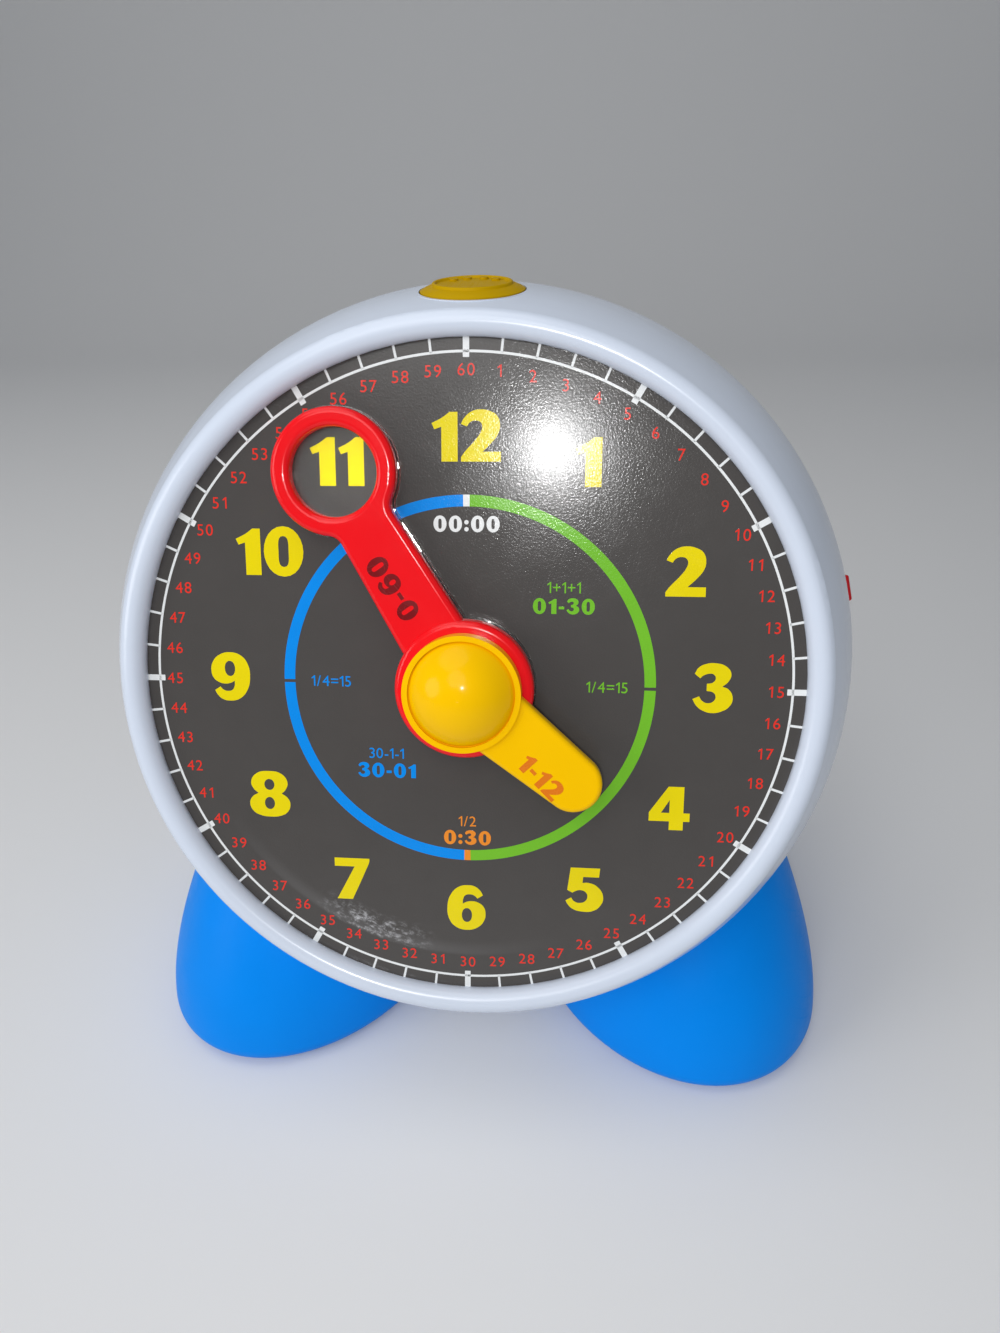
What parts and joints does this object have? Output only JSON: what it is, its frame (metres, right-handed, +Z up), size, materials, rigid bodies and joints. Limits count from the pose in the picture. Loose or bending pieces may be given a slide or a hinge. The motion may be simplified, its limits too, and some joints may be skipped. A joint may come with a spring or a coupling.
{
  "type": "talking teaching clock",
  "caption": "Round leaning clock on two feet, for learning to tell the time: hands set by hand over a printed dial, a talk button on top and a mode slider on the flank.",
  "frame": {"origin": "on the floor, under the middle of the clock's outline", "axes": "+Z up, +X to the viewer's right as the dial is read, +Y away from the viewer; the dial faces -Y"},
  "size_m": [0.2622, 0.169, 0.2663],
  "materials": {
    "housing": "glossy pale lavender white moulded plastic",
    "dial_print": "glossy printed sheet, dark grey",
    "inner_plastic": "natural moulded plastic",
    "minute_red": "glossy red moulded plastic",
    "clear_plastic": "clear moulded plastic",
    "hour_yellow": "glossy yellow moulded plastic",
    "button_yellow": "glossy golden yellow plastic",
    "slider_red": "glossy dark red plastic",
    "foot_blue": "satin bright blue moulded plastic",
    "pad_rubber": "dark rubber",
    "steel": "plain steel",
    "brass": "plain brass",
    "board_green": "green lacquered board",
    "black_plastic": "black plastic",
    "capacitor_blue": "blue sleeved capacitor",
    "cone_paper": "dark pressed paper",
    "magnet_iron": "grey ferrite",
    "cell_jacket": "plain wrapped cell"
  },
  "bodies": {
    "case": {"front_shell": "housing", "rear_shell": "housing", "battery_door": "housing", "dial_sheet": "dial_print", "dial_plate": "inner_plastic", "shaft_bush": "inner_plastic", "battery_tray": "inner_plastic", "right_foot": "foot_blue", "left_foot": "foot_blue", "right_foot_base": "foot_blue", "left_foot_base": "foot_blue", "foot_pads": "pad_rubber", "speaker_gasket": "pad_rubber", "dial_screws": "steel", "button_spring": "steel", "speaker_basket": "steel", "speaker_screws": "steel", "battery_contacts": "steel", "door_screw": "steel", "battery_screws": "steel", "board_screws": "steel", "case_screws": "steel", "foot_screws": "steel", "base_screws": "steel", "position_board": "board_green", "button_board": "board_green", "mode_board": "board_green", "main_board": "board_green", "button_switch": "black_plastic", "mode_switch": "black_plastic", "main_chip": "black_plastic", "main_components": "capacitor_blue", "speaker_cone": "cone_paper", "speaker_magnet": "magnet_iron", "battery_cells": "cell_jacket"},
    "minute": {"minute_hand": "minute_red", "minute_lens": "clear_plastic", "minute_tube": "brass", "minute_disc": "inner_plastic", "minute_wipers": "brass"},
    "hour": {"hour_hand": "hour_yellow", "hour_cap": "hour_yellow", "hour_spindle": "steel", "hour_screw": "steel", "hour_disc": "inner_plastic", "hour_wipers": "brass", "spindle_clip": "steel"},
    "button": {"top_button": "button_yellow"},
    "slider": {"mode_slider": "slider_red"}
  },
  "joints": [
    {"name": "minute_turn", "type": "hinge", "parent": "case", "child": "minute", "pos_m": [0, -0.04212, 0.1566], "axis": [0, 0.9397, -0.342], "continuous": true},
    {"name": "hour_turn", "type": "hinge", "parent": "case", "child": "hour", "pos_m": [0, -0.04212, 0.1566], "axis": [0, 0.9397, -0.342], "continuous": true},
    {"name": "button_press", "type": "slide", "parent": "case", "child": "button", "axis": [0, 0, -1], "range_m": [0, 0.0025], "stiffness_N_per_m": 400, "springref_m": -0.002, "deforming": ["button_spring"]},
    {"name": "mode_slide", "type": "slide", "parent": "case", "child": "slider", "axis": [-0.2079, 0.3345, 0.9192], "range_m": [-0.003, 0.003]}
  ]
}
